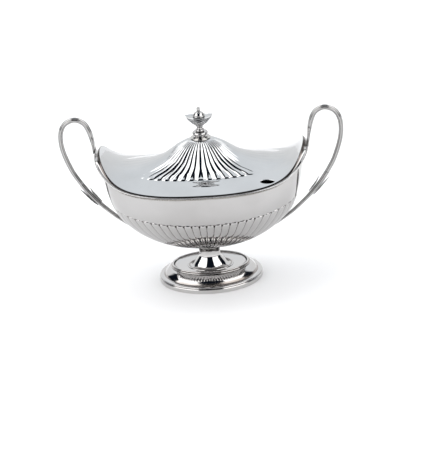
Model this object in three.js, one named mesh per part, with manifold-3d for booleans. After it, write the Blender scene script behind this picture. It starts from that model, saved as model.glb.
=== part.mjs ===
// A covered silver soup tureen: an oval boat-shaped bowl on a hollow foot, two high loop
// handles, and a lift-off gadrooned lid whose urn finial is held by a bolt and nut.
// Millimetres, +Z up, long axis along X, front at -Y, origin at the bottom centre of the foot.
import * as THREE from "three";
import { mergeVertices } from "three/addons/utils/BufferGeometryUtils.js";
import Module from "manifold-3d";

// ---------------------------------------------------------------- driving dimensions
const GAP = 0.3; // clearance between neighbouring pieces
const SHEET = 1.6; // raised sheet of the bowl and the foot
const LID_SHEET = 1.4;

const BOWL_A = 150.5; // half-length of the bowl at its rim
const BOWL_B = 98; // half-width there
const BOWL_FLOOR = 52; // lowest point of the bowl's outside
const RIM_Z = 164.5; // height of the rim amidships
const BOAT = 2.5; // superellipse exponent of the rim's plan...
const KEEL = 2.1; // ...and of the bowl's plan near the foot
const LOBES = 60; // convex lobes round the lower body
const LOBE_TOP = 115; // where they end amidships...
const LOBE_CLIMB = 19; // ...and how much higher they end at the tips
const LOBE_DEPTH = 1.7;

const SHEER_BASE = 111.5; // height from which the bowl's wall follows the rim's sheer
const TIP_RISE_SOFT = 12; // the rim's sheer: a gentle sweep...
const TIP_RISE_STEEP = 35; // ...and a steep upturn at the two ends

const LID_A = 150;
const LID_B = 97.5;
const CROWN_Z = 221; // top of the lid where the finial stands
const GADROONS = 48; // convex gadroons of the domed lid
const SLOT_X = 97.3; // middle of the ladle slot, near the lid's front edge
const SLOT_Y = -72;
const SLOT_LENGTH = 21;
const SLOT_WIDTH = 9.6;
const SLOT_TURN = -0.12;

const FOOT_A = 77.5; // the foot's plan: its bottom edge...
const FOOT_B = 69;
const STEP_A = 56; // ...its stepped rim...
const STEP_B = 41.5;
const NECK_A = 15.6; // ...and its neck
const NECK_B = 14;
const BAND_Z = 7; // height of the upright band at the very bottom
const STEP_Z = 21.2; // height of the foot's stepped rim
const NECK_Z = 44;

const BOLT_RADIUS = 2;
const BORE_RADIUS = 2.4;

const SILVER = { color: 0xd6d9dc, roughness: 0.13, metalness: 1 };
const SILVER_SHADED = { color: 0xc3c4c4, roughness: 0.2, metalness: 1 };
const STEEL = { color: 0x9a9d9f, roughness: 0.35, metalness: 1 };

const wasm = await Module();
wasm.setup();

const tureen = new THREE.Group();
const lid = new THREE.Group();
tureen.add(lid);

// ---------------------------------------------------------------- shared shape tools
function addPiece(parent, name, geometry, finish = SILVER) {
  const piece = new THREE.Mesh(geometry, new THREE.MeshStandardMaterial(finish));
  piece.name = name;
  parent.add(piece);
}

function weld(geometry) {
  geometry.deleteAttribute("normal");
  geometry.deleteAttribute("uv");
  const welded = mergeVertices(geometry, 1e-4);
  welded.computeVertexNormals();
  return welded;
}

function toSolid(geometry) {
  const welded = weld(geometry.clone());
  return new wasm.Manifold(
    new wasm.Mesh({
      numProp: 3,
      vertProperties: welded.attributes.position.array,
      triVerts: new Uint32Array(welded.index.array),
    }),
  );
}

function fromSolid(solid) {
  const mesh = solid.getMesh();
  const geometry = new THREE.BufferGeometry();
  geometry.setAttribute("position", new THREE.BufferAttribute(mesh.vertProperties, 3));
  geometry.setIndex(new THREE.BufferAttribute(mesh.triVerts, 1));
  geometry.computeVertexNormals();
  return geometry;
}

const cut = (geometry, tool) => fromSolid(toSolid(geometry).subtract(toSolid(tool)));

// Signed power, for superellipse outlines.
const power = (value, exponent) => Math.sign(value) * Math.abs(value) ** exponent;

function ovalPoint(a, b, exponent, angle) {
  return new THREE.Vector2(
    a * power(Math.cos(angle), 2 / exponent),
    b * power(Math.sin(angle), 2 / exponent),
  );
}

// Parameter angles that divide an oval's outline into equal lengths.
function evenAngles(a, b, exponent, count) {
  const samples = 4096;
  const outline = [];
  for (let i = 0; i <= samples; i++) {
    outline.push(ovalPoint(a, b, exponent, (2 * Math.PI * i) / samples));
  }
  const reached = [0];
  for (let i = 1; i <= samples; i++) {
    reached.push(reached[i - 1] + outline[i].distanceTo(outline[i - 1]));
  }
  const angles = [];
  let at = 0;
  for (let k = 0; k < count; k++) {
    const target = (reached[samples] * k) / count;
    while (reached[at + 1] < target) at++;
    const share = (target - reached[at]) / (reached[at + 1] - reached[at]);
    angles.push((2 * Math.PI * (at + share)) / samples);
  }
  return angles;
}

// The rise of the rim towards its ends, for a position 0 (amidships) to 1 (tip).
const sheer = (t) => TIP_RISE_SOFT * t ** 2.5 + TIP_RISE_STEEP * t ** 10;

const noGroove = () => 0;

// A solid of revolution whose rings are reshaped into ovals. Each row of the profile is
// { a, b, z } with optional: n (outline exponent), lift (share of the rim's sheer), reach (half
// length over which the sheer is measured), groove (how deep a meridian lies, from its number and
// its position 0 amidships to 1 at a tip), spread (0 keeps the meridians radial, 1 spaces them
// evenly), and out and drop (how far the ring is pushed out and down at the two ends).
function ovalSolid(rows, even, closed = true) {
  const profile = closed ? [...rows, rows[0]] : rows;
  const count = even.length;
  const lathe = new THREE.LatheGeometry(
    profile.map((row, i) => new THREE.Vector2(1, i)),
    count,
  );
  const position = lathe.attributes.position;
  for (let i = 0; i <= count; i++) {
    const k = i % count;
    profile.forEach((row, j) => {
      const { n = 2, lift = 0, groove = noGroove, spread = 1, out = 0, drop = 0 } = row;
      const angle = even[k] * spread + ((2 * Math.PI * k) / count) * (1 - spread);
      const across = Math.abs(power(Math.cos(angle), 2 / n));
      const end = across ** 8;
      const inset = groove(k, across);
      const grow = row.a > 0 ? out * end - inset : 0;
      const p = ovalPoint(row.a + grow, row.b + grow, n, angle);
      const reach = row.reach ?? row.a;
      const rise = lift ? lift * sheer(Math.min(1, Math.abs(p.x) / (reach + out * end))) : 0;
      position.setXYZ(i * profile.length + j, p.x, p.y, row.z + rise - drop * end);
    });
  }
  return weld(lathe);
}

// The inner side of a sheet: each row of an open profile moved in along its own normal.
function offsetRows(rows, thickness) {
  return rows.map((row, i) => {
    const before = rows[Math.max(0, i - 1)];
    const after = rows[Math.min(rows.length - 1, i + 1)];
    const run = (after.a + after.b - before.a - before.b) / 2;
    const rise = after.z - before.z;
    const length = Math.hypot(run, rise);
    const moved = (thickness * rise) / length;
    return {
      ...row,
      reach: row.a,
      a: row.a > 0 ? row.a - moved : 0,
      b: row.b > 0 ? row.b - moved : 0,
      z: row.z + (thickness * run) / length,
    };
  });
}

// A bar along a curve in the XZ plane. half(t) gives its half-depth in the plane and its
// half-width across it, at t from 0 to 1 along the curve.
function sweptBar(curve, half, sides, steps) {
  const bar = new THREE.CylinderGeometry(1, 1, 1, sides, steps);
  const position = bar.attributes.position;
  for (let i = 0; i < position.count; i++) {
    const t = position.getY(i) + 0.5;
    const at = curve.getPointAt(t);
    const along = curve.getTangentAt(t);
    const { depth, width } = half(t);
    const radial = position.getX(i) * depth;
    position.setXYZ(
      i,
      at.x - along.y * radial,
      position.getZ(i) * width,
      at.y + along.x * radial,
    );
  }
  return weld(bar);
}

const planeCurve = (points) =>
  new THREE.SplineCurve(points.map(([x, z]) => new THREE.Vector2(x, z)));

function mirrored(geometry) {
  const copy = geometry.clone().scale(-1, 1, 1);
  const order = copy.index.array;
  for (let i = 0; i < order.length; i += 3) {
    [order[i + 1], order[i + 2]] = [order[i + 2], order[i + 1]];
  }
  copy.computeVertexNormals();
  return copy;
}

function addPair(parent, name, geometry) {
  addPiece(parent, `${name}_right`, geometry);
  addPiece(parent, `${name}_left`, mirrored(geometry));
}

function revolve(points, segments) {
  const outline = points.map(([r, z]) => new THREE.Vector2(r, z));
  return weld(new THREE.LatheGeometry(outline, segments).rotateX(Math.PI / 2));
}

// A turned ring threaded on the bolt: its outer outline as pairs of radius and height above z.
function bored(z, outline, segments = 20) {
  const top = outline[outline.length - 1][1];
  const side = outline.map(([r, up]) => [r, z + up]);
  return revolve([[BORE_RADIUS, z], ...side, [BORE_RADIUS, z + top], [BORE_RADIUS, z]], segments);
}

// A turned solid without a bore, given in the same way.
function turned(z, outline, segments = 16) {
  const top = outline[outline.length - 1][1];
  return revolve([[0, z], ...outline.map(([r, up]) => [r, z + up]), [0, z + top]], segments);
}

// ---------------------------------------------------------------- bowl
const bowlEven = evenAngles(BOWL_A, BOWL_B, BOAT, 2 * LOBES);

// Width of the bowl at a height, as a share of its width at the rim.
function bowlShare(z) {
  const depth = (RIM_Z - z) / (RIM_Z - BOWL_FLOOR);
  return Math.max(0, 1 - depth ** 1.68) ** (1 / 2.15);
}

function bowlRow(z) {
  const share = bowlShare(z);
  const up = Math.max(0, (z - SHEER_BASE) / (RIM_Z - SHEER_BASE));
  const depth = LOBE_DEPTH * Math.min(1, share / 0.55);
  const below = (across) => LOBE_TOP + LOBE_CLIMB * across ** 2 - z;
  return {
    a: BOWL_A * share,
    b: BOWL_B * share,
    z,
    n: KEEL + (BOAT - KEEL) * share,
    lift: up ** 1.5,
    groove: (k, across) => (k % 2 ? depth * THREE.MathUtils.smoothstep(below(across), 0, 5) : 0),
  };
}

function bowlShell() {
  const heights = [BOWL_FLOOR, 53.6, 61, 74, 91, 104, 110, LOBE_TOP, 121, 128, 143, RIM_Z];
  const outer = heights.map(bowlRow);
  const inner = offsetRows(outer, SHEET).reverse();
  return ovalSolid([...outer, ...inner], bowlEven, false);
}

// The applied rim moulding, which widens into an everted lip at each end.
function rimMoulding() {
  const row = (grow, z, out, drop) => ({
    a: BOWL_A + grow,
    b: BOWL_B + grow,
    z: RIM_Z + z,
    n: BOAT,
    lift: 1,
    out,
    drop,
  });
  return ovalSolid(
    [
      row(GAP, -1.8, 0, 0),
      row(2, -1.8, 5.9, 7.4),
      row(2.6, -0.9, 5.5, 6.6),
      row(2, 0, 4.9, 5.6),
      row(GAP, 0, 0, 0),
    ],
    bowlEven,
  );
}

// The beaded wire soldered on just under the rim moulding.
function beadBorder() {
  const radius = 1.2;
  const drop = 3.4;
  const sides = 5;
  const rows = [];
  for (let i = 0; i < sides; i++) {
    const angle = (2 * Math.PI * i) / sides;
    const move = radius * (1 + Math.cos(angle)) + 2 * GAP;
    rows.push({
      a: BOWL_A + move,
      b: BOWL_B + move,
      z: RIM_Z - drop + radius * Math.sin(angle),
      n: BOAT,
      lift: 0.93,
    });
  }
  return ovalSolid(rows, bowlEven.filter((_, i) => i % 2 === 0));
}

addPiece(tureen, "bowl_shell", bowlShell());
addPiece(tureen, "rim_moulding", rimMoulding());
addPiece(tureen, "bead_border", beadBorder(), SILVER_SHADED);

// ---------------------------------------------------------------- handles
// Centre line of a handle, from its root on the lip, over the top and down to the leaf.
const STRAP_LINE = planeCurve([
  [157.6, 209],
  [159.4, 222.5],
  [163.5, 240],
  [170.5, 252.6],
  [184, 258.2],
  [198.5, 252],
  [205.5, 238],
  [206, 220],
  [202, 201],
  [193, 177],
  [182.5, 158.5],
]);
// ...and from the leaf down and in under the bowl.
const BRANCH_LINE = planeCurve([
  [182, 157.6],
  [170, 140.5],
  [157, 125.7],
  [143.6, 112.6],
  [128.8, 99.6],
  [113, 88.2],
  [97, 77.8],
  [82, 68.7],
]);
const STRAP_HALF = 4.1;

function strapHalf(t) {
  const root = 1 - THREE.MathUtils.smoothstep(t, 0, 0.16);
  return { depth: STRAP_HALF - 2 * root - 0.5 * t, width: STRAP_HALF + 12 * root ** 2 - 0.4 * t };
}

function branchHalf(t) {
  return { depth: 3.7 - 2 * t, width: 4.6 - 0.6 * t };
}

function leafHalf(t) {
  const swell = Math.sin(Math.PI * Math.min(1, 0.2 + 0.8 * t)) ** 0.7;
  return { depth: 0.5 + 0.9 * swell, width: 0.7 + 4.6 * swell };
}

addPair(tureen, "handle_strap", sweptBar(STRAP_LINE, strapHalf, 8, 26));
addPair(tureen, "handle_branch", sweptBar(BRANCH_LINE, branchHalf, 8, 11));
addPair(
  tureen,
  "handle_leaf",
  sweptBar(planeCurve([[153.5, 128.8], [159.6, 136.4], [165.5, 144], [169.8, 151.6]]), leafHalf, 6, 6),
);
addPair(
  tureen,
  "handle_spur",
  sweptBar(planeCurve([[160.6, 122.6], [167.7, 129.9], [174.9, 137.8], [184.6, 149.4]]), leafHalf, 6, 6),
);

// ---------------------------------------------------------------- foot
const footEven = evenAngles(FOOT_A, FOOT_B, 2, 40);

// A row of the foot: its half-width follows from its half-length.
function footRow(a, z) {
  const b =
    a > STEP_A
      ? THREE.MathUtils.mapLinear(a, STEP_A, FOOT_A, STEP_B, FOOT_B)
      : THREE.MathUtils.mapLinear(a, NECK_A, STEP_A, NECK_B, STEP_B);
  return { a, b, z };
}

// The raised spool: a dished shoulder, then a trumpet up to a narrow neck under the bowl.
function footSpool() {
  const outer = [
    footRow(STEP_A - 2.8, STEP_Z + 1.4),
    footRow(50, STEP_Z),
    footRow(42, STEP_Z - 1),
    footRow(34, STEP_Z - 1.2),
    footRow(27.6, STEP_Z + 0.2),
    footRow(23, STEP_Z + 5.4),
    footRow(19.8, STEP_Z + 9.6),
    footRow(16.4, STEP_Z + 14.2),
    footRow(NECK_A, NECK_Z - 3),
    footRow(NECK_A + 1, NECK_Z + 4.5),
  ];
  return ovalSolid([...outer, ...offsetRows(outer, SHEET).reverse()], footEven);
}

// The small reeded collar that joins the neck to the underside of the bowl.
function bowlCollar() {
  return ovalSolid(
    [
      footRow(12, NECK_Z + 5),
      footRow(16.8, NECK_Z + 5),
      footRow(17.8, NECK_Z + 6),
      footRow(16.8, NECK_Z + 7.2),
      footRow(12, NECK_Z + 7.2),
    ],
    footEven,
  );
}

// Two thin steps soldered round the edge of the shoulder, which stand proud of its dish.
function footSteps() {
  return ovalSolid(
    [
      footRow(STEP_A - 1.3, STEP_Z),
      footRow(STEP_A + 3.2, STEP_Z),
      footRow(STEP_A + 3.2, STEP_Z + 1.6),
      footRow(STEP_A + 1.4, STEP_Z + 1.6),
      footRow(STEP_A + 1.4, STEP_Z + 3.4),
      footRow(STEP_A - 1.3, STEP_Z + 3.4),
    ],
    footEven,
  );
}

// A flat flange over the bottom band, and the bold round moulding between it and the steps.
function footMoulding() {
  const outer = [
    footRow(FOOT_A - 1.3, BAND_Z + GAP),
    footRow(FOOT_A - 1.3, BAND_Z + 2.2),
    footRow(FOOT_A - 8, BAND_Z + 2.6),
    footRow(FOOT_A - 8.9, BAND_Z + 5),
    footRow(FOOT_A - 10.2, BAND_Z + 8.4),
    footRow(FOOT_A - 12.9, STEP_Z - 2.8),
    footRow(FOOT_A - 16.5, STEP_Z - 1),
    footRow(FOOT_A - 19.9, STEP_Z - 0.4),
  ];
  return ovalSolid([...outer, ...offsetRows(outer, SHEET).reverse()], footEven);
}

// The upright band the tureen stands on.
function footBand() {
  return ovalSolid(
    [
      footRow(FOOT_A - 4.5, 0),
      footRow(FOOT_A - 0.4, 0),
      footRow(FOOT_A, 0.8),
      footRow(FOOT_A, BAND_Z - 0.9),
      footRow(FOOT_A - 0.8, BAND_Z),
      footRow(FOOT_A - 4.5, BAND_Z),
    ],
    footEven,
  );
}

addPiece(tureen, "foot_spool", footSpool());
addPiece(tureen, "bowl_collar", bowlCollar(), SILVER_SHADED);
addPiece(tureen, "foot_steps", footSteps());
addPiece(tureen, "foot_moulding", footMoulding());
addPiece(tureen, "foot_band", footBand());

// ---------------------------------------------------------------- lid
const lidEven = evenAngles(118, 57, 2.3, 2 * GADROONS);
const SEAT_Z = RIM_Z + GAP; // underside of the lid's edge, amidships

// Rows of the lid's outside from the bolt hole outwards: half-length, half-width, height,
// depth between the gadroons, and how evenly they are spaced there.
const LID_PROFILE = [
  [BORE_RADIUS, BORE_RADIUS, CROWN_Z, 0, 0],
  [15, 13.5, CROWN_Z - 0.4, 0.5, 0],
  [25, 19.5, CROWN_Z - 2.6, 1.2, 0.1],
  [36, 26, CROWN_Z - 9, 1.7, 0.25],
  [47, 32, CROWN_Z - 18, 2.1, 0.4],
  [62, 39.5, CROWN_Z - 27, 2.4, 0.62],
  [82, 46.5, CROWN_Z - 34.5, 2.4, 0.85],
  [104, 52, CROWN_Z - 40, 2.4, 0.97],
  [118, 57, CROWN_Z - 42.9, 0, 1],
  [136, 77, CROWN_Z - 48.8, 0, 1],
  [LID_A, LID_B, SEAT_Z + LID_SHEET, 0, 1],
];

function lidShell() {
  const outer = LID_PROFILE.map(([a, b, z, depth, spread], i) => ({
    a,
    b,
    z,
    n: 2 + 0.5 * (i / (LID_PROFILE.length - 1)),
    lift: 1,
    reach: BOWL_A,
    groove: (k) => (k % 2 ? depth : 0),
    spread,
  }));
  const inner = outer.map((row) => ({ ...row, z: row.z - LID_SHEET }));
  return ovalSolid([...inner, ...outer.reverse()], lidEven);
}

// The slot a ladle's handle passes through, cut down through the lid and its flange.
const ladleSlot = new THREE.CylinderGeometry(1, 1, 60, 24)
  .rotateX(Math.PI / 2)
  .scale(SLOT_LENGTH / 2, SLOT_WIDTH / 2, 1)
  .rotateZ(SLOT_TURN)
  .translate(SLOT_X, SLOT_Y, RIM_Z);

// The upright flange under the lid that drops inside the bowl's rim and keeps it from sliding.
function lidBezel() {
  const wall = 1.2;
  const a = BOWL_A - SHEET - 3;
  const b = BOWL_B - SHEET - 3;
  const row = (inset, z) => ({
    a: a - inset,
    b: b - inset,
    z,
    n: BOAT,
    lift: 1,
    reach: LID_A,
  });
  return ovalSolid(
    [
      row(wall, SEAT_Z - 6),
      row(0, SEAT_Z - 6),
      row(0, SEAT_Z - 0.2),
      row(wall, SEAT_Z - 0.2),
    ],
    lidEven.filter((_, i) => i % 2 === 0),
  );
}

addPiece(lid, "lid_shell", cut(lidShell(), ladleSlot));
addPiece(lid, "lid_bezel", cut(lidBezel(), ladleSlot), SILVER_SHADED);

// ---------------------------------------------------------------- finial
const FINIAL_Z = CROWN_Z + GAP;
const CROWN_UNDER = CROWN_Z - LID_SHEET;
const ROUND = evenAngles(1, 1, 2, 20);

const finialCollar = () => bored(FINIAL_Z, [[15, 0], [15, 0.7], [12.4, 1.5]]);

// A plain drum under a bold half-round rim.
const finialBase = () =>
  bored(FINIAL_Z + 1.8, [[10.4, 0], [10.4, 3.2], [11.7, 4.6], [11.7, 6.6], [10, 8]]);

const finialKnop = () => bored(FINIAL_Z + 10.1, [[5.4, 0], [6.9, 1], [6.9, 2.6], [5.2, 3.6]]);

const finialStem = () => bored(FINIAL_Z + 14, [[4.8, 0], [4.4, 1.5], [4.8, 3]]);

// The boat-shaped urn, whose rim turns up at both ends like the bowl's. The bolt ends in its
// blind bore.
function finialCup() {
  const z = FINIAL_Z + 17.3;
  const tipRise = 3 / (TIP_RISE_SOFT + TIP_RISE_STEEP);
  return ovalSolid(
    [
      { a: 0, b: 0, z: z + 8 },
      { a: BORE_RADIUS, b: BORE_RADIUS, z: z + 8 },
      { a: BORE_RADIUS, b: BORE_RADIUS, z },
      { a: 4.9, b: 4.7, z },
      { a: 7.4, b: 6.5, z: z + 3 },
      { a: 12, b: 8.8, z: z + 6.4 },
      { a: 16.8, b: 10.8, z: z + 10.9, lift: tipRise / 3 },
      { a: 20.8, b: 12.4, z: z + 15.5, lift: tipRise },
      { a: 19.4, b: 11.2, z: z + 15.9, lift: tipRise },
      { a: 11, b: 9.2, z: z + 15.6 },
      { a: 0, b: 0, z: z + 15.6 },
    ],
    ROUND,
    false,
  );
}

function finialCover() {
  const z = FINIAL_Z + 33.2;
  return ovalSolid(
    [
      { a: 0, b: 0, z },
      { a: 9, b: 8.4, z },
      { a: 8.8, b: 8.2, z: z + 1.8 },
      { a: 7, b: 6.5, z: z + 4.8 },
      { a: 3.6, b: 3.4, z: z + 6.9 },
      { a: 0, b: 0, z: z + 7.2 },
    ],
    ROUND,
    false,
  );
}

const finialButton = () => turned(FINIAL_Z + 40.7, [[2.8, 0], [2.4, 0.8], [2.6, 4.8], [1.8, 6]]);

const finialBolt = () => turned(CROWN_UNDER - 9, [[BOLT_RADIUS, 0], [BOLT_RADIUS, 35.5]]);

const finialWasher = () => bored(CROWN_UNDER - 1.6, [[8, 0], [8, 1.2]]);

const finialNut = () => bored(CROWN_UNDER - 5.6, [[5, 0], [5, 3.7]], 6);

addPiece(lid, "finial_collar", finialCollar(), SILVER_SHADED);
addPiece(lid, "finial_base", finialBase());
addPiece(lid, "finial_knop", finialKnop());
addPiece(lid, "finial_stem", finialStem());
addPiece(lid, "finial_cup", finialCup());
addPiece(lid, "finial_cover", finialCover());
addPiece(lid, "finial_button", finialButton());
addPiece(lid, "finial_bolt", finialBolt(), STEEL);
addPiece(lid, "finial_washer", finialWasher(), STEEL);
addPiece(lid, "finial_nut", finialNut(), STEEL);

export default tureen;
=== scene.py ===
import math

import bpy
import numpy as np
from mathutils import Matrix, Vector


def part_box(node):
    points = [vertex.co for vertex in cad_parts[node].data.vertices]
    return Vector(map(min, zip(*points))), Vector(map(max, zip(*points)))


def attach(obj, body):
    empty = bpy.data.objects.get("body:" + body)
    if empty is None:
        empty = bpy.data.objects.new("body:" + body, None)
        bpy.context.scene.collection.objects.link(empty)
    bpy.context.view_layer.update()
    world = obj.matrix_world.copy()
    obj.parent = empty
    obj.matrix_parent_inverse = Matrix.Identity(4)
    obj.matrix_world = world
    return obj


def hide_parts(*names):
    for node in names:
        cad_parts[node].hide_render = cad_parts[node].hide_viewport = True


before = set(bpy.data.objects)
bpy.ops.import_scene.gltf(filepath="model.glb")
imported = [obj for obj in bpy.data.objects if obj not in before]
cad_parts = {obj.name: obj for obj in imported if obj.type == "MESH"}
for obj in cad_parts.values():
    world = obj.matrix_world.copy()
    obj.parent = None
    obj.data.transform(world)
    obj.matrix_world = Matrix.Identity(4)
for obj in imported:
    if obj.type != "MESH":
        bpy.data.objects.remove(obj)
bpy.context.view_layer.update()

# A polished silver soup tureen: fine meshes for every piece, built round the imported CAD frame.
# Shapes are worked out in millimetres and written to the meshes in metres.
MM = 0.001


def node_box(name):
    """Lowest and highest corners of a CAD node, in millimetres."""
    low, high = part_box(name)
    return np.array(low) / MM, np.array(high) / MM


# ---------------------------------------------------------------- sizes, from the frame
bowl_low, bowl_high = node_box("bowl_shell")
_, lid_high = node_box("lid_shell")
_, band_high = node_box("foot_band")
steps_low, steps_high = node_box("foot_steps")
_, spool_high = node_box("foot_spool")

TIP_RISE_SOFT = 12
TIP_RISE_STEEP = 35
TIP_RISE = TIP_RISE_SOFT + TIP_RISE_STEEP
# Exponents of the superellipses at the rim and at the bowl's floor: 2 is an ellipse.
BOAT = 2.5
BOAT_FLOOR = 2.1
BOWL_A, BOWL_B = bowl_high[0], bowl_high[1]
BOWL_FLOOR = bowl_low[2]
RIM_Z = bowl_high[2] - TIP_RISE
SHEET = 1.6
# Above this height the bowl's wall follows the rise of the rim.
SHEER_BASE = 111.5
LOBES = 60
# The line of arches over the lobes: its height amidships and how far it climbs to the tips.
LOBE_TOP = 115
LOBE_CLIMB = 19
LOBE_DEPTH = 3.0
RIM_COLUMNS = 480
BEADS = 344
BEAD_RADIUS = 1.18
BEAD_OUT = 0.9
BEAD_DROP = 3.0

LID_A, LID_B = lid_high[0], lid_high[1]
LID_SHEET = 1.4
SEAT_Z = RIM_Z + 0.3
CROWN_Z = lid_high[2]
GADROONS = 48
SLOT_X, SLOT_Y = 97.3, -72
SLOT_LENGTH, SLOT_WIDTH, SLOT_TURN = 21, 9.6, -0.12
SLOT_SIDES = 64
SLOT_CUT = (150.0, 205.0)

FOOT_A, FOOT_B = band_high[0], band_high[1]
BAND_Z = band_high[2]
STEP_A, STEP_B = 56, 41.5
STEP_Z = steps_low[2]
NECK_A, NECK_B = 15.6, 14
NECK_Z = 44


# ---------------------------------------------------------------- shape tools
def power(value, exponent):
    """A power that keeps the value's sign."""
    return np.sign(value) * np.abs(value) ** exponent


def oval(a, b, n, angle):
    """x and y of a superellipse."""
    return a * power(np.cos(angle), 2 / n), b * power(np.sin(angle), 2 / n)


def even_angles(a, b, n, count):
    """Parameter angles that divide a superellipse into equal lengths."""
    fine = np.linspace(0, 2 * math.pi, 8193)
    x, y = oval(a, b, n, fine)
    reached = np.concatenate([[0], np.cumsum(np.hypot(np.diff(x), np.diff(y)))])
    wanted = np.arange(count) / count * reached[-1]
    return np.interp(wanted, reached, fine)


def sheer(t):
    """The rise of the rim towards its ends, for 0 amidships to 1 at a tip."""
    t = np.clip(t, 0, 1)
    return TIP_RISE_SOFT * t**2.5 + TIP_RISE_STEEP * t**10


def ease(low, high, value):
    """A smooth step from 0 at low to 1 at high."""
    t = np.clip((value - low) / (high - low), 0, 1)
    return t * t * (3 - 2 * t)


def smooth_curve(points, count):
    """A Catmull-Rom curve through the points, resampled at equal lengths."""
    points = np.array(points, float)
    padded = np.vstack([2 * points[0] - points[1], points, 2 * points[-1] - points[-2]])
    out = []
    for i in range(1, len(padded) - 2):
        p0, p1, p2, p3 = padded[i - 1 : i + 3]
        for t in np.linspace(0, 1, 24, endpoint=False):
            out.append(
                0.5
                * (
                    2 * p1
                    + (p2 - p0) * t
                    + (2 * p0 - 5 * p1 + 4 * p2 - p3) * t**2
                    + (3 * p1 - p0 - 3 * p2 + p3) * t**3
                )
            )
    out.append(points[-1])
    return resample(np.array(out), count)


def resample(points, count):
    """The same line with count points at equal distances."""
    reached = np.concatenate([[0], np.cumsum(np.linalg.norm(np.diff(points, axis=0), axis=1))])
    wanted = np.linspace(0, reached[-1], count)
    return np.stack([np.interp(wanted, reached, points[:, i]) for i in range(points.shape[1])], 1)


def ring_faces(rows, columns, closed_rows=False):
    """Quads between the rows of a grid, each row a closed ring."""
    last_row = rows if closed_rows else rows - 1
    r, c = np.meshgrid(np.arange(last_row), np.arange(columns), indexing="ij")
    r2, c2 = (r + 1) % rows, (c + 1) % columns
    quads = np.stack([r * columns + c, r * columns + c2, r2 * columns + c2, r2 * columns + c], -1)
    return quads.reshape(-1, 4)


def make_object(name, points, faces, shade_and_tarnish=None, crease=38):
    """A smooth-shaded mesh object from points in millimetres, with points that coincide merged.
    The fourth argument says how dark each point is painted, as tarnish and as painted shade in
    hollows, gaps and grooves: 1 is deep, and more darkens it further. crease is the angle in
    degrees beyond which an edge stays sharp."""
    mesh = bpy.data.meshes.new(name)
    points = np.asarray(points, float).reshape(-1, 3)
    key = np.round(points / 1e-4).astype(np.int64)
    _, first, inverse = np.unique(key, axis=0, return_index=True, return_inverse=True)
    inverse = inverse.reshape(-1)
    merged = []
    for face in faces:
        corners = []
        for v in inverse[np.asarray(face)]:
            if v not in corners:
                corners.append(int(v))
        if len(corners) > 2:
            merged.append(corners)
    mesh.from_pydata((points[first] * MM).tolist(), [], merged)
    mesh.polygons.foreach_set("use_smooth", [True] * len(mesh.polygons))
    mesh.set_sharp_from_angle(angle=math.radians(crease))
    # Painted shade in hollows, gaps and grooves, together with tarnish, for the silver materials to
    # read.
    depth = mesh.attributes.new("shade_and_tarnish_map", "FLOAT", "POINT")
    values = np.zeros(len(first)) if shade_and_tarnish is None else np.asarray(shade_and_tarnish, float).reshape(-1)[first]
    depth.data.foreach_set("value", values.astype(np.float32))
    mesh.update()
    obj = bpy.data.objects.new(name, mesh)
    bpy.context.scene.collection.objects.link(obj)
    return obj


def join_points(parts):
    """Several shapes of points, faces and painted shade-and-tarnish values as one."""
    points, faces, shade_and_tarnish, start = [], [], [], 0
    for p, f, w in parts:
        p = np.asarray(p, float).reshape(-1, 3)
        points.append(p)
        faces.extend([[int(i) + start for i in face] for face in f])
        shade_and_tarnish.append(np.asarray(w, float).reshape(-1))
        start += len(p)
    return np.vstack(points), faces, np.concatenate(shade_and_tarnish)


def add_piece(obj, body, nodes, material):
    """Gives a piece its material and the body it rides on, and hides the CAD nodes it stands for."""
    obj.data.materials.clear()
    obj.data.materials.append(material)
    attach(obj, body)
    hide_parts(*nodes)


# ---------------------------------------------------------------- materials
def new_material(name):
    material = bpy.data.materials.new(name)
    material.use_nodes = True
    tree = material.node_tree
    tree.nodes.clear()
    return material, tree


def node(tree, kind, links=None, **settings):
    """A new node. settings are properties or, where named as a socket, input values; links
    joins input sockets to other nodes' output sockets."""
    made = tree.nodes.new(kind)
    for key, value in settings.items():
        if hasattr(made, key):
            setattr(made, key, value)
        else:
            made.inputs[key.replace("_", " ")].default_value = value
    for key, socket in (links or {}).items():
        tree.links.new(socket, made.inputs[key])
    return made


def maths(tree, operation, *values):
    """A calculation on numbers or on other nodes' outputs."""
    made = node(tree, "ShaderNodeMath", operation=operation)
    for i, value in enumerate(values):
        if isinstance(value, (int, float)):
            made.inputs[i].default_value = value
        else:
            tree.links.new(value, made.inputs[i])
    return made.outputs[0]


def remap(tree, value, start, end, low=0.0, high=1.0, kind="LINEAR"):
    """low where the value is at start, high where it is at end, and no further."""
    ends = {"From_Min": start, "From_Max": end, "To_Min": low, "To_Max": high}
    made = node(tree, "ShaderNodeMapRange", {"Value": value}, interpolation_type=kind, **ends)
    return made.outputs[0]


def blend(tree, factor, *colours):
    """The first colour at factor 0, the second at 1; each an RGB colour or a node's output."""
    made = node(tree, "ShaderNodeMix", {"Factor": factor}, data_type="RGBA")
    for name, colour in zip("AB", colours):
        if isinstance(colour, tuple):
            made.inputs[name].default_value = (*colour, 1)
        else:
            tree.links.new(colour, made.inputs[name])
    return made.outputs["Result"]


def bump(tree, height, strength, distance, normal=None):
    """A normal bent by a height; distance is in metres."""
    links = {"Height": height}
    if normal:
        links["Normal"] = normal
    return node(tree, "ShaderNodeBump", links, Strength=strength, Distance=distance).outputs[0]


def surface(tree, links, **settings):
    """A principled shader, joined to the material's output."""
    shader = node(tree, "ShaderNodeBsdfPrincipled", links, **settings)
    node(tree, "ShaderNodeOutputMaterial", {"Surface": shader.outputs[0]})


def streaks(tree, here, rotation, scale, detail):
    """Noise drawn out into fine lines along one direction."""
    drawn = node(tree, "ShaderNodeMapping", {"Vector": here}, Rotation=rotation, Scale=scale)
    along = {"Vector": drawn.outputs[0]}
    return node(tree, "ShaderNodeTexNoise", along, Scale=1.0, Detail=detail).outputs[0]


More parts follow.
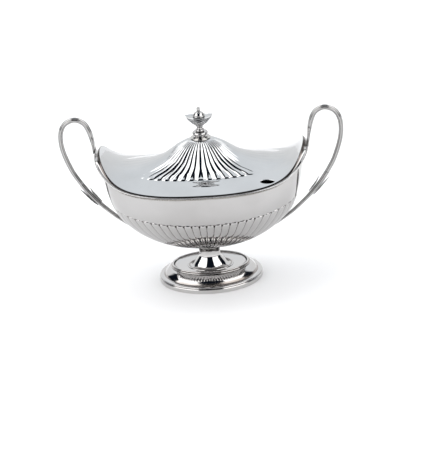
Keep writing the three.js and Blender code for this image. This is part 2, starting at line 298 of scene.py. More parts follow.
def silver(name, color, tarnish_and_shade_colour, roughness, polish_wave=0.35, scratch=0.5):
    """Polished silver: hand-raised ripple, fine wear scratches, uneven polish, and tarnish that
    gathers in recesses, with painted shade added in hollows, gaps and grooves."""
    material, tree = new_material(name)
    here = node(tree, "ShaderNodeTexCoord").outputs["Object"]
    ripple = node(tree, "ShaderNodeTexNoise", {"Vector": here}, Scale=22.0, Detail=1.0)
    hammer = node(tree, "ShaderNodeTexVoronoi", {"Vector": here}, feature="SMOOTH_F1", Scale=95.0)
    hammer.inputs["Smoothness"].default_value = 1.0
    lengthways = streaks(tree, here, (0.3, 0.5, 0.7), (60.0, 1400.0, 900.0), 3.0)
    crossways = streaks(tree, here, (1.1, -0.4, 2.0), (900.0, 45.0, 1100.0), 2.0)
    scratches = maths(tree, "MULTIPLY", lengthways, crossways)
    cloud = node(tree, "ShaderNodeTexNoise", {"Vector": here}, Scale=14.0, Detail=4.0).outputs[0]
    shade_and_tarnish_map = node(tree, "ShaderNodeAttribute", attribute_name="shade_and_tarnish_map").outputs["Fac"]

    # Painted shade with tarnish: the stored darkness of hollows, gaps and grooves, broken up by cloud;
    # the haze is uneven tarnish all over.
    hollow_shade_and_tarnish = remap(tree, maths(tree, "MULTIPLY", shade_and_tarnish_map, cloud), 0.12, 0.62, high=0.85)
    haze = remap(tree, cloud, 0.42, 0.75, high=0.12)
    tarnish_haze_and_shade = maths(tree, "MAXIMUM", hollow_shade_and_tarnish, haze)
    tone = blend(tree, tarnish_haze_and_shade, color, tarnish_and_shade_colour)
    worn_rough = remap(tree, scratches, 0.15, 0.5, roughness, roughness * 2.2)
    rough = maths(tree, "MULTIPLY_ADD", tarnish_haze_and_shade, 0.25, worn_rough)

    wave = bump(tree, ripple.outputs[0], polish_wave, 0.0012)
    dimples = bump(tree, hammer.outputs["Distance"], polish_wave, 0.00016, wave)
    fine = bump(tree, scratches, scratch, 0.00001, dimples)
    surface(tree, {"Base Color": tone, "Roughness": rough, "Normal": fine}, Metallic=1.0)
    return material


# Painted light: one silver, given a darker base tone on the bowl and the handles and a lighter one on
# the lid, the foot and the lid's flange, for how much light each part catches. The second colour is
# tarnish and painted shade.
POLISHED = silver("polished_silver", (0.5, 0.492, 0.488), (0.1, 0.08, 0.07), 0.03)
LID_SILVER = silver("lid_silver", (0.59, 0.595, 0.6), (0.06, 0.06, 0.065), 0.03, 0.5)
HANDLE_SILVER = silver("handle_silver", (0.44, 0.435, 0.43), (0.05, 0.045, 0.04), 0.07, 0.3)
FOOT_SILVER = silver("foot_silver", (0.6, 0.588, 0.582), (0.17, 0.135, 0.11), 0.03, 0.45)
SHADED = silver("shaded_silver", (0.55, 0.54, 0.52), (0.09, 0.07, 0.05), 0.1, 0.2)
INSIDE = silver("inside_silver", (0.6, 0.59, 0.575), (0.26, 0.22, 0.17), 0.12, 0.3)


def plain_metal(name):
    """Metal of the bolt, washer and nut: fine brushing and a little oil stain."""
    material, tree = new_material(name)
    here = node(tree, "ShaderNodeTexCoord").outputs["Object"]
    turning = node(tree, "ShaderNodeTexNoise", {"Vector": here}, Scale=900.0).outputs[0]
    stains = node(tree, "ShaderNodeTexNoise", {"Vector": here}, Scale=160.0).outputs[0]
    tone = blend(tree, stains, (0.42, 0.42, 0.42), (0.6, 0.59, 0.57))
    rough = remap(tree, turning, 0.0, 1.0, 0.25, 0.5)
    brushed = bump(tree, turning, 0.3, 0.00003)
    surface(tree, {"Base Color": tone, "Roughness": rough, "Normal": brushed}, Metallic=1.0)
    return material


HARDWARE = plain_metal("hardware_metal")

# ---------------------------------------------------------------- bowl
BOWL_COLUMNS = LOBES * 12
LOBE_ARCH = 3.4
bowl_even = even_angles(BOWL_A, BOWL_B, BOAT, BOWL_COLUMNS)


def bowl_share(z):
    """Width of the bowl at a height, as a share of its width at the rim."""
    depth = np.clip((RIM_Z - z) / (RIM_Z - BOWL_FLOOR), 0, 1)
    return (1 - depth**1.68) ** (1 / 2.15)


def lobe_dip(across, x_share, z):
    """How far the wall lies in between convex lobes. across is -1 to 1 over a lobe; each lobe
    ends in a low arch, on a line that climbs towards the tips."""
    above = z - (LOBE_TOP + LOBE_CLIMB * x_share**2) + LOBE_ARCH
    away = np.sqrt(across**2 + (np.clip(above, 0, None) / LOBE_ARCH) ** 2)
    arch = 1 - np.sqrt(np.clip(1 - 0.9 * away**2, 0, None))
    beyond = 0.68 * (1 - ease(1.0, 1.35, away))
    corner = 1 + 1.1 * np.abs(across) ** 4 * np.exp(-(((above - 0.8) / 1.7) ** 2))
    return np.where(away <= 1, arch * corner, beyond * corner)


def bowl_rows(heights, thickness):
    """Rings of the bowl's wall at these heights, set in by thickness."""
    columns = np.arange(BOWL_COLUMNS)
    across = 2 * ((columns / BOWL_COLUMNS * LOBES + 0.5) % 1) - 1
    share = bowl_share(heights)
    points, shade_and_tarnish = [], []
    for i, z in enumerate(heights):
        s = share[i]
        n = BOAT_FLOOR + (BOAT - BOAT_FLOOR) * s
        x_share = np.abs(power(np.cos(bowl_even), 2 / n))
        up = max(0, (z - SHEER_BASE) / (RIM_Z - SHEER_BASE))
        lift = up**1.5 * sheer(x_share)
        dip = lobe_dip(across, x_share, z + lift) * LOBE_DEPTH * min(1, s / 0.55)
        before, after = max(0, i - 1), min(len(heights) - 1, i + 1)
        run = (share[after] - share[before]) * (BOWL_A + BOWL_B) / 2
        rise = heights[after] - heights[before]
        length = math.hypot(run, rise)
        inward = thickness * rise / length
        a, b = BOWL_A * s, BOWL_B * s
        if s > 0:
            a, b = a - inward - dip, b - inward - dip
        x, y = oval(a, b, n, bowl_even)
        points.append(np.stack([x, y, z + thickness * run / length + lift], 1))
        # Painted shade with tarnish in the valleys between the lobes and round the arches at their
        # tops.
        shade_and_tarnish.append(1.5 * np.clip(dip / LOBE_DEPTH, 0, 1.6) ** 1.6)
    return np.array(points), np.array(shade_and_tarnish)


def meridian(low, high, count):
    """Heights that divide the bowl's outline into equal lengths."""
    z = np.linspace(low, high, 2000)
    line = np.stack([z, bowl_share(z) * (BOWL_A + BOWL_B) / 2], 1)
    return resample(line, count)[:, 0]


def bowl_shell():
    """The open bowl. Its rings are close together where the lobes end in their arches."""
    arches_low, arches_high = 108.7, 137.5
    heights = np.concatenate(
        [
            meridian(BOWL_FLOOR, arches_low - 0.7, 52),
            np.linspace(arches_low, arches_high, 44),
            meridian(arches_high + 1.0, RIM_Z, 18),
        ]
    )
    outside, shade_and_tarnish = bowl_rows(heights, 0)
    inner_heights = meridian(BOWL_FLOOR, RIM_Z, 56)
    inside, _ = bowl_rows(inner_heights, SHEET)
    inside[-1, :, 2] = RIM_Z + sheer(np.abs(inside[-1, :, 0]) / BOWL_A)
    rows = np.concatenate([outside, inside[::-1]])
    depth = np.concatenate([shade_and_tarnish, np.zeros(inside.shape[:2])])
    obj = make_object("bowl", rows, ring_faces(len(rows), BOWL_COLUMNS), depth, crease=32)
    add_piece(obj, "tureen", ["bowl_shell"], POLISHED)


def rim_point(grow, z, out, drop, even):
    """A ring that follows the rim: pushed out and down at both ends."""
    end = np.abs(power(np.cos(even), 2 / BOAT)) ** 8
    reach = BOWL_A + grow + out * end
    x, y = oval(reach, BOWL_B + grow + out * end, BOAT, even)
    return np.stack([x, y, RIM_Z + z + sheer(np.abs(x) / reach) - drop * end], 1)


def rim_moulding():
    """Two fine reeds along the sides that open into a hollow lip at each end."""
    even = even_angles(BOWL_A, BOWL_B, BOAT, RIM_COLUMNS)
    # For each ring: outward, up, and how much further out and down it lies at the ends.
    section = [
        (0.1, -0.1, 0, 0),
        (0.5, 0.05, 0.6, 1.1),
        (0.9, -0.15, 1.7, 2.7),
        (1.2, -0.2, 2.9, 4.1),
        (1.5, 0.0, 3.9, 4.9),
        (1.9, 0.1, 4.7, 5.2),
        (2.3, 0.0, 5.1, 5.5),
        (2.55, -0.3, 5.3, 5.8),
        (2.6, -0.7, 5.5, 6.2),
        (2.45, -1.05, 5.6, 6.5),
        (2.15, -1.25, 5.7, 6.8),
        (2.0, -1.4, 5.8, 7.0),
        (1.7, -1.75, 5.6, 7.3),
        (0.9, -1.8, 3.4, 5.8),
        (0.1, -1.8, 0, 2.6),
    ]
    rows = np.array([rim_point(*row, even) for row in section])
    depth = np.zeros(rows.shape[:2])
    # Painted shade: the top rows dark as the gap under the lid's edge, the lowest rows as the shade
    # under the lip, both with tarnish.
    depth[0] = depth[1] = 1.6
    depth[2] = 0.7
    depth[-3:] = 1.2
    faces = ring_faces(len(rows), len(even), closed_rows=True)[:, ::-1]
    obj = make_object("rim_reeding", rows, faces, depth)
    add_piece(obj, "tureen", ["rim_moulding"], POLISHED)


def ball():
    """Points and faces of a small ball of radius 1."""
    columns, rows = 10, 6
    lat = np.linspace(-math.pi / 2, math.pi / 2, rows + 1)
    lon = np.arange(columns) / columns * 2 * math.pi
    points = np.stack(
        [
            np.outer(np.cos(lat), np.cos(lon)),
            np.outer(np.cos(lat), np.sin(lon)),
            np.outer(np.sin(lat), np.ones(columns)),
        ],
        -1,
    )
    return points.reshape(-1, 3), ring_faces(rows + 1, columns)


def bead_level(x):
    """Height of the beaded wire, which climbs a little less than the rim."""
    return RIM_Z - BEAD_DROP + 0.95 * sheer(np.abs(x) / (BOWL_A + BEAD_OUT))


def bead_border():
    """A row of beads on a narrow strip."""
    even = even_angles(BOWL_A, BOWL_B, BOAT, BEADS)
    x, y = oval(BOWL_A + BEAD_OUT, BOWL_B + BEAD_OUT, BOAT, even)
    centres = np.stack([x, y, bead_level(x)], 1)
    bead, bead_faces = ball()
    # Painted shade with tarnish round each bead's middle, where it meets its neighbours.
    bead_shade_and_tarnish = 0.5 - 0.5 * np.abs(bead[:, 2])
    parts = [(centre + bead * BEAD_RADIUS, bead_faces, bead_shade_and_tarnish) for centre in centres]
    even = even_angles(BOWL_A, BOWL_B, BOAT, RIM_COLUMNS)
    strip = []
    for grow, up in ((0.15, -1.5), (0.75, -1.3), (0.75, 1.0), (0.15, 1.0)):
        x, y = oval(BOWL_A + grow, BOWL_B + grow, BOAT, even)
        strip.append(np.stack([x, y, bead_level(x) + up], 1))
    faces = ring_faces(len(strip), RIM_COLUMNS, closed_rows=True)
    # The strip behind the beads is painted dark all over, as the shade among the beads, with tarnish.
    parts.append((np.array(strip), faces, np.full((len(strip), RIM_COLUMNS), 1.5)))
    points, faces, shade_and_tarnish = join_points(parts)
    obj = make_object("beading", points, faces, shade_and_tarnish)
    add_piece(obj, "tureen", ["bead_border"], SHADED)


# ---------------------------------------------------------------- handles
STRAP_LINE = [
    (157.6, 209),
    (159.4, 222.5),
    (163.5, 240),
    (170.5, 252.6),
    (184, 258.2),
    (198.5, 252),
    (205.5, 238),
    (206, 220),
    (202, 201),
    (193, 177),
    (182.5, 158.5),
]
BRANCH_LINE = [
    (182, 157.6),
    (170, 140.5),
    (157, 125.7),
    (143.6, 112.6),
    (128.8, 99.6),
    (113, 88.2),
    (97, 77.8),
    (82, 68.7),
]
REEDS = 6
REED_GROOVE = 0.3
BAR_SIDES = REEDS * 14


def swept(line, steps, half, side_sign):
    """A reeded bar along a line in the XZ plane. half gives its half-depth and half-width."""
    sides = BAR_SIDES
    path = smooth_curve(line, steps)
    along = np.gradient(path, axis=0)
    along /= np.linalg.norm(along, axis=1)[:, None]
    turn = (np.arange(sides) + 0.5) / sides * 2 * math.pi
    across = 2 * ((turn / (2 * math.pi) * REEDS) % 1) - 1
    bulge = 1 - REED_GROOVE * (1 - np.sqrt(1 - 0.94 * across**2))
    rows, shade_and_tarnish = [], []
    for i in range(steps):
        t = i / (steps - 1)
        depth, width = half(t)
        radial = np.cos(turn) * depth * bulge
        side = np.sin(turn) * width * bulge
        x = path[i, 0] - along[i, 1] * radial
        z = path[i, 1] + along[i, 0] * radial
        rows.append(np.stack([side_sign * x, side, z], 1))
        # Painted shade with tarnish in the grooves between the reeds.
        shade_and_tarnish.append(1.4 * np.abs(across) ** 4)
    rows = np.array(rows)
    faces = [list(f) for f in ring_faces(steps, sides)]
    faces.append(list(range(sides))[::-1])
    faces.append([(steps - 1) * sides + i for i in range(sides)])
    if side_sign > 0:
        faces = [f[::-1] for f in faces]
    return rows, faces, np.array(shade_and_tarnish)


def strap_half(t):
    """Half-depth and half-width of the upper bar, flat and broad at its root on the rim."""
    root = 1 - float(ease(0, 0.16, t))
    return 4.1 - 2 * root - 0.5 * t, 4.1 + 12 * root**2 - 0.4 * t


def branch_half(t):
    """Half-depth and half-width of the lower bar, which thins towards the bowl."""
    return 3.7 - 2 * t, 4.6 - 0.6 * t


def leaf(line, side_sign, outward):
    """A small pointed acanthus leaf with a midrib, lobed edges and a curled tip."""
    steps, half_count, lobes = 26, 7, 5
    path = smooth_curve(line, steps)
    along = np.gradient(path, axis=0)
    along /= np.linalg.norm(along, axis=1)[:, None]
    front, back = [], []
    for i in range(steps):
        t = i / (steps - 1)
        swell = math.sin(math.pi * min(1, 0.04 + 0.96 * t)) ** 0.75
        width = 0.35 + 4.2 * swell * (1 + 0.14 * math.cos(t * lobes * 2 * math.pi))
        thick = 0.25 + 0.5 * swell
        for rows, side in ((front, 1), (back, -1)):
            row = []
            for k in range(-half_count, half_count + 1):
                u = k / half_count
                vein = 0.27 * math.cos(u * 3 * math.pi) * swell * (1 - abs(u))
                rib = 0.7 * max(0, 1 - abs(u) * 4)
                relief = rib + vein if side > 0 else 0
                lift = (thick * (1 - 0.8 * u * u) + relief) * side * 0.8 * outward
                x = path[i, 0] - along[i, 1] * lift
                z = path[i, 1] + along[i, 0] * lift
                row.append((side_sign * x, u * width, z))
            rows.append(row)
    front, back = np.array(front), np.array(back)[:, ::-1]
    loop = np.concatenate([front, back], axis=1)
    columns = loop.shape[1]
    faces = [list(f) for f in ring_faces(steps, columns)]
    faces.append(list(range(columns))[::-1])
    faces.append([(steps - 1) * columns + i for i in range(columns)])
    if side_sign * outward < 0:
        faces = [f[::-1] for f in faces]
    u = np.abs(np.linspace(-1, 1, 2 * half_count + 1))
    # Painted shade with tarnish in the veins, and the whole back of the leaf painted darker as its
    # shaded side.
    front_shade_and_tarnish = 0.2 + 0.6 * (np.cos(u * 3 * math.pi) < 0)
    one_row = np.concatenate([front_shade_and_tarnish, np.full(len(u), 0.9)])
    return loop, faces, np.tile(one_row, (steps, 1))


LEAF_LINE = [(153.9, 128.6), (160.1, 135.9), (166.0, 143.6), (169.8, 151.0)]
SPUR_LINE = [(160.2, 123.0), (167.2, 130.4), (174.3, 138.3), (184.3, 149.2)]


def handles():
    """Both handles: two reeded bars, with a leaf and a spur where they join."""
    for side, sign in (("right", 1), ("left", -1)):
        parts = [
            ("reeded_strap", "handle_strap", swept(STRAP_LINE, 150, strap_half, sign), 38),
            ("reeded_branch", "handle_branch", swept(BRANCH_LINE, 90, branch_half, sign), 38),
            ("acanthus_leaf", "handle_leaf", leaf(LEAF_LINE, sign, 1), 50),
            ("leaf_spur", "handle_spur", leaf(SPUR_LINE, sign, -1), 50),
        ]
        for name, node_name, shape, crease in parts:
            obj = make_object(f"{name}_{side}", *shape, crease=crease)
            add_piece(obj, "tureen", [f"{node_name}_{side}"], HANDLE_SILVER)


# ---------------------------------------------------------------- foot
FOOT_COLUMNS = 288
foot_even = even_angles(FOOT_A, FOOT_B, 2, FOOT_COLUMNS)


def foot_b(a):
    """Half-width of the foot where its half-length is a."""
    outer = STEP_B + (a - STEP_A) * (FOOT_B - STEP_B) / (FOOT_A - STEP_A)
    inner = NECK_B + (a - NECK_A) * (STEP_B - NECK_B) / (STEP_A - NECK_A)
    return outer if a > STEP_A else inner


def foot_rings(profile):
    """Rings of an oval moulding from pairs of half-length and height."""
    rows = []
    for a, z in profile:
        x, y = oval(a, foot_b(a), 2, foot_even)
        rows.append(np.stack([x, y, np.full(len(foot_even), z)], 1))
    return np.array(rows)


def moulded_ring(name, outside, inside, node_name, shade_and_tarnish_rows):
    """A ring with a finely drawn outside and a plain inside."""
    rows = foot_rings(list(outside) + list(inside))
    depth = np.zeros(rows.shape[:2])
    # The outside rows carry the painted shade and tarnish given for them.
    depth[: len(outside)] = np.asarray(shade_and_tarnish_rows)[:, None]
    faces = ring_faces(len(rows), FOOT_COLUMNS, closed_rows=True)
    obj = make_object(name, rows, faces, depth, crease=30)
    add_piece(obj, "tureen", [node_name], FOOT_SILVER)


def arc(centre, radius, start, end, count):
    """Points of an elliptical arc, angles in degrees, radius as (across, up)."""
    angle = np.radians(np.linspace(start, end, count))
    return np.stack([centre[0] + radius[0] * np.cos(angle), centre[1] + radius[1] * np.sin(angle)], 1)


def foot():
    """The foot from the table up: edge, convex moulding, stepped rim and trumpet neck."""
    outside = np.concatenate(
        [
            arc((FOOT_A - 0.9, 0.9), (0.9, 0.9), -90, 0, 6),
            arc((FOOT_A - 1.0, BAND_Z - 1.4), (1.0, 1.4), 0, 90, 8),
        ]
    )
    inside = [(FOOT_A - 4.5, BAND_Z), (FOOT_A - 4.5, 0)]
    # Painted a little darker towards the bottom of the edge.
    moulded_ring("foot_edge", outside, inside, "foot_band", np.linspace(0.25, 0.05, len(outside)))

    flange_z = BAND_Z + 2.2
    crease_a = FOOT_A - 8
    outside = np.concatenate(
        [
            [(FOOT_A - 1.5, BAND_Z + 0.3)],
            arc((FOOT_A - 2.1, flange_z - 0.8), (0.8, 0.8), -10, 80, 6),
            [(FOOT_A - 5, flange_z + 0.15)],
            arc((crease_a + 1.6, flange_z + 1.9), (1.7, 1.7), 270, 200, 8),
            smooth_curve(
                [
                    (crease_a - 0.1, BAND_Z + 3.9),
                    (crease_a - 0.6, BAND_Z + 5.0),
                    (crease_a - 1.7, BAND_Z + 6.8),
                    (crease_a - 3.3, BAND_Z + 8.6),
                    (crease_a - 5.3, BAND_Z + 10.5),
                    (crease_a - 7.4, STEP_Z - 1.9),
                    (FOOT_A - 17.6, STEP_Z - 0.6),
                    (FOOT_A - 19.9, STEP_Z - 0.4),
                ],
                26,
            ),
        ]
    )
    inside = [
        (FOOT_A - 20.2, STEP_Z - 2),
        (FOOT_A - 14.6, STEP_Z - 5.6),
        (FOOT_A - 11, BAND_Z + 4.6),
        (FOOT_A - 9.4, BAND_Z + 1.2),
        (FOOT_A - 2.9, BAND_Z + 0.7),
        (FOOT_A - 2.9, BAND_Z + 0.3),
    ]
    # Painted shade with tarnish in the crease above the flange and where the moulding runs in under
    # the stepped rim.
    near_crease = np.exp(-(((outside[:, 0] - crease_a) / 1.5) ** 2))
    near_step = ease(FOOT_A - 17, FOOT_A - 19.5, outside[:, 0])
    shade_and_tarnish = np.maximum(0.95 * near_crease, 0.8 * near_step)
    moulded_ring("foot_torus", outside, inside, "foot_moulding", shade_and_tarnish)

    low, high = STEP_Z, steps_high[2]
    outside = np.concatenate(
        [
            arc((STEP_A + 2.4, low + 0.8), (0.8, 0.8), -90, 90, 9),
            [(STEP_A + 1.7, low + 1.65)],
            arc((STEP_A + 0.6, low + 2.5), (0.8, 0.85), -60, 90, 8),
            arc((STEP_A - 0.3, high - 0.5), (0.9, 0.5), 90, 170, 6),
        ]
    )
    inside = [(STEP_A - 1.3, low + 0.6), (STEP_A - 1.2, low)]
    # Painted shade with tarnish in the groove between the two steps; the rest a little darker all
    # over.
    shade_and_tarnish = np.full(len(outside), 0.25)
    shade_and_tarnish[7:12] = 0.95
    moulded_ring("foot_stepped_rim", outside, inside, "foot_steps", shade_and_tarnish)

    top = spool_high[2]
    outside = np.concatenate(
        [
            [(STEP_A - 2.8, STEP_Z + 1.4)],
            smooth_curve(
                [
                    (STEP_A - 2.8, STEP_Z + 1.4),
                    (50, STEP_Z),
                    (42, STEP_Z - 1.0),
                    (34.6, STEP_Z - 1.2),
                ],
                16,
            ),
            arc((33.6, STEP_Z - 1.2), (1.0, 0.9), 0, 90, 5),
            arc((33.0, STEP_Z - 1.0), (1.2, 0.7), 90, 180, 5),
            smooth_curve(
                [
                    (31.2, STEP_Z - 1.0),
                    (27.8, STEP_Z + 0.3),
                    (25.2, STEP_Z + 2.6),
                    (22.8, STEP_Z + 5.7),
                    (19.8, STEP_Z + 9.6),
                    (17.0, STEP_Z + 13.4),
                    (15.9, STEP_Z + 16.4),
                    (15.55, NECK_Z - 2),
                    (15.7, NECK_Z + 1.0),
                    (16.3, NECK_Z + 3.4),
                    (16.7, top),
                ],
                54,
            ),
        ]
    )
    # Painted shade with tarnish in the groove by the small bead and where the trumpet runs in under
    # the stepped rim, and a faint darkening over the whole trumpet.
    near_bead = np.exp(-(((outside[:, 0] - 31.4) / 1.6) ** 2))
    shade_and_tarnish = 0.1 + 0.85 * near_bead + 0.5 * ease(52, 53.2, outside[:, 0])
    inside = [
        (15.0, top),
        (14.2, NECK_Z - 2),
        (15.0, STEP_Z + 13.0),
        (18.3, STEP_Z + 8.6),
        (21.8, STEP_Z + 4.3),
        (27.0, STEP_Z - 1.2),
        (34, STEP_Z - 2.8),
        (42, STEP_Z - 2.6),
        (50, STEP_Z - 1.6),
        (STEP_A - 2.9, STEP_Z - 0.2),
    ]
    moulded_ring("foot_trumpet", outside, inside, "foot_spool", np.clip(shade_and_tarnish, 0, 1))


def bowl_collar():
    """A ring of small gadroons between the neck and the bowl."""
    low, high = node_box("bowl_collar")
    gadroons, columns = 40, 400
    ratio = high[1] / high[0]
    turn = even_angles(1, ratio, 2, columns)
    across = 2 * ((np.arange(columns) / columns * gadroons) % 1) - 1
    rows, shade_and_tarnish = [], []
    middle, half = (low[2] + high[2]) / 2, (high[2] - low[2]) / 2
    for angle in np.radians(np.linspace(-90, 90, 11)):
        bulge = 1 - 0.55 * (1 - np.sqrt(1 - 0.9 * across**2))
        a = high[0] - 2.2 + 2.2 * math.cos(angle) * bulge
        x, y = a * np.cos(turn), a * ratio * np.sin(turn)
        rows.append(np.stack([x, y, np.full(columns, middle + half * math.sin(angle))], 1))
        # Painted shade with tarnish in the grooves between the gadroons.
        shade_and_tarnish.append(np.abs(across) ** 3)
    bore = 12
    for z in (high[2], low[2]):
        x, y = bore * np.cos(turn), bore * ratio * np.sin(turn)
        rows.append(np.stack([x, y, np.full(columns, z)], 1))
        shade_and_tarnish.append(np.zeros(columns))
    faces = ring_faces(len(rows), columns, closed_rows=True)
    obj = make_object("gadroon_collar", rows, faces, np.array(shade_and_tarnish))
    add_piece(obj, "tureen", ["bowl_collar"], SHADED)


# ---------------------------------------------------------------- lid
LID_COLUMNS = GADROONS * 14
# The gadroons are spaced evenly along this oval, near their outer ends.
GADROON_OVAL = (118, 57, 2.3)
lid_even = even_angles(*GADROON_OVAL, LID_COLUMNS)
BORE = 2.4
# Half-length, half-width, height and evenness of the gadroons, from the crown to the edge.
LID_PROFILE = [
    (BORE, BORE, CROWN_Z, 0),
    (9, 8.2, CROWN_Z, 0),
    (15, 13.5, CROWN_Z - 0.4, 0),
    (20, 16.8, CROWN_Z - 2.3, 0.03),
    (26, 20.5, CROWN_Z - 5.2, 0.1),
    (36, 26, CROWN_Z - 10.4, 0.25),
    (47, 32, CROWN_Z - 18, 0.4),
    (62, 39.5, CROWN_Z - 27, 0.62),
    (82, 46.5, CROWN_Z - 34.5, 0.85),
    (104, 53, CROWN_Z - 40.2, 0.97),
    (122, 62, CROWN_Z - 45.2, 1),
    (136, 77, CROWN_Z - 48.8, 1),
    (LID_A, LID_B, SEAT_Z + LID_SHEET, 1),
]
GADROON_START = 15.5
GADROON_END = 121
GADROON_RISE = 1.35


def lid_rings(profile, drop):
    """Rings of the lid. The gadroons are convex reeds, round at their outer ends, bold at the
    front and back and shallower towards the two ends of the lid."""
    columns = np.arange(LID_COLUMNS)
    across = 2 * ((columns / LID_COLUMNS * GADROONS + 0.5) % 1) - 1
    points, shade_and_tarnish = [], []
    for a, b, z, spread in profile:
        share = (a - BORE) / (LID_A - BORE)
        n = 2 + (BOAT - 2) * share**0.7
        angle = lid_even * spread + columns / LID_COLUMNS * 2 * math.pi * (1 - spread)
        x_share = np.abs(power(np.cos(angle), 2 / n))
        half_pitch = (a + b) / 2 * math.pi / GADROONS
        past = np.clip((a - GADROON_END) / 4.5 + 1, 0, None)
        bold = 1 - 0.85 * ease(0.5, 0.8, x_share) * ease(24, 60, a)
        rise = min(GADROON_RISE, 0.27 * half_pitch) * float(ease(GADROON_START, GADROON_START + 6, a))
        bulge = np.clip(1 - across**2 - past**2, 0, None) * rise * bold
        x, y = oval(a + bulge * 0.6, b + bulge * 0.6, n, angle)
        lift = sheer(np.abs(x) / BOWL_A)
        points.append(np.stack([x, y, z + lift + bulge * 0.8 - drop], 1))
        # Painted shade with tarnish round each gadroon's outline and round end, and the lid's very
        # edge painted dark as the shadow gap over the rim.
        near_edge = np.clip(1 - np.abs(np.hypot(across, past) - 1) * 6, 0, 1) * bold
        rim_gap_shade = 1.6 * float(a > LID_A - 0.3)
        shade_and_tarnish.append(near_edge * float(ease(GADROON_START, 22, a)) * 0.5 + rim_gap_shade)
    return np.array(points), np.array(shade_and_tarnish)


def slot_cutter():
    """An upright oval post that cuts the ladle slot."""
    turn = np.arange(SLOT_SIDES) / SLOT_SIDES * 2 * math.pi
    px, py = SLOT_LENGTH / 2 * np.cos(turn), SLOT_WIDTH / 2 * np.sin(turn)
    c, s = math.cos(SLOT_TURN), math.sin(SLOT_TURN)
    x, y = SLOT_X + px * c - py * s, SLOT_Y + px * s + py * c
    rows = np.array([np.stack([x, y, np.full(SLOT_SIDES, z)], 1) for z in SLOT_CUT])
    faces = [list(f) for f in ring_faces(len(rows), SLOT_SIDES)]
    faces.append(list(range(SLOT_SIDES))[::-1])
    faces.append([SLOT_SIDES + i for i in range(SLOT_SIDES)])
    return make_object("slot_cutter", rows, faces)


def cut_slot(obj):
    """Cuts the ladle slot through a piece, and leaves a plain mesh."""
    cutter = slot_cutter()
    modifier = obj.modifiers.new("slot", "BOOLEAN")
    modifier.operation = "DIFFERENCE"
    modifier.solver = "EXACT"
    modifier.object = cutter
    bpy.context.view_layer.update()
    shape = obj.evaluated_get(bpy.context.evaluated_depsgraph_get())
    mesh = bpy.data.meshes.new_from_object(shape)
    obj.modifiers.clear()
    obj.data = mesh
    bpy.data.objects.remove(cutter)


def lid_shell():
    """The lid as one thin shell with a bore for the finial's bolt and the ladle slot."""
    profile = smooth_curve(LID_PROFILE, 128)
    outside, shade_and_tarnish = lid_rings(profile, 0)
    inside, _ = lid_rings(profile[::2], LID_SHEET)
    rows = np.concatenate([inside, outside[::-1]])
    depth = np.concatenate([np.zeros(inside.shape[:2]), shade_and_tarnish[::-1]])
    faces = ring_faces(len(rows), LID_COLUMNS, closed_rows=True)
    obj = make_object("gadrooned_lid", rows, faces, depth, crease=30)
    cut_slot(obj)
    add_piece(obj, "lid", ["lid_shell"], LID_SILVER)


def lid_bezel():
    """The flange under the lid, which follows the rise of the rim."""
    _, high = node_box("lid_bezel")
    even = even_angles(BOWL_A, BOWL_B, BOAT, 384)
    section = [(1.2, -5.8), (0.9, -6.0), (0.3, -6.0), (0.0, -5.7), (0.0, -0.2), (1.2, -0.2)]
    rows = []
    for inset, z in section:
        x, y = oval(high[0] - inset, high[1] - inset, BOAT, even)
        rows.append(np.stack([x, y, SEAT_Z + z + sheer(np.abs(x) / LID_A)], 1))
    rows = np.array(rows)
    obj = make_object("lid_flange", rows, ring_faces(len(rows), len(even), closed_rows=True))
    cut_slot(obj)
    add_piece(obj, "lid", ["lid_bezel"], INSIDE)


# ---------------------------------------------------------------- finial
def turned(name, outline, node_name, material, ratio=1.0, columns=96, bore=BORE):
    """A moulded ring or knob from pairs of radius and height; a bore of 0 closes it."""
    profile = [tuple(p) for p in outline]
    profile = [(bore, profile[0][1])] + profile + [(bore, profile[-1][1])]
    turn = np.arange(columns) / columns * 2 * math.pi
    rows = []
    for r, z in profile:
        flat = r * ratio if r > bore else r
        rows.append(np.stack([r * np.cos(turn), flat * np.sin(turn), np.full(columns, z)], 1))
    rows = np.array(rows)
    faces = ring_faces(len(rows), columns, closed_rows=bore > 0)
    obj = make_object(name, rows, faces, crease=35)
    add_piece(obj, "lid", [node_name], material)


def finial_cup():
    """A boat-shaped cup, lobed underneath, whose rim rises at both ends like the bowl's."""
    low, high = node_box("finial_cup")
    columns, lobes = 240, 20
    turn = np.arange(columns) / columns * 2 * math.pi
    across = 2 * ((np.arange(columns) / columns * lobes + 0.5) % 1) - 1
    mid = high[2] - 3
    # Half-length, half-width, height, and share of the rise at the rim.
    line = [
        (4.9, 4.7, low[2], 0),
        (5.6, 5.2, low[2] + 1.4, 0),
        (7.6, 6.6, low[2] + 3.2, 0),
        (10.4, 8.1, low[2] + 4.9, 0.05),
        (13.0, 9.4, low[2] + 7.2, 0.15),
        (16.9, 11, low[2] + 10.9, 0.4),
        (19.6, 12, mid - 2.0, 0.8),
        (20.7, 12.4, mid - 0.5, 1),
        (20.3, 12.1, mid, 1),
        (19.2, 11.4, mid - 0.4, 0.95),
        (15, 10.2, mid - 1.2, 0.6),
        (11, 9.0, mid - 0.9, 0.2),
        (8, 7.4, mid - 0.7, 0),
    ]
    profile = smooth_curve(line, 60)
    rows, shade_and_tarnish = [], []
    rings = [(0.0, 0.0, low[2], 0.0)] + [tuple(p) for p in profile] + [(0.0, 0.0, mid - 0.7, 0.0)]
    for a, b, z, lift in rings:
        lobed = float(ease(5.0, 6.5, a) * (1 - ease(low[2] + 6.2, low[2] + 7.6, z)))
        dip = 1 - 0.16 * lobed * (1 - np.sqrt(1 - 0.95 * across**2))
        x, y = a * dip * np.cos(turn), b * dip * np.sin(turn)
        rise = 3 * lift * sheer(np.abs(x) / 20.8) / TIP_RISE
        rows.append(np.stack([x, y, z + rise], 1))
        # Painted shade with tarnish in the grooves between the lobes.
        shade_and_tarnish.append(lobed * np.abs(across) ** 4)
    rows = np.array(rows)
    obj = make_object("urn_cup", rows, ring_faces(len(rows), columns), np.array(shade_and_tarnish))
    add_piece(obj, "lid", ["finial_cup"], LID_SILVER)


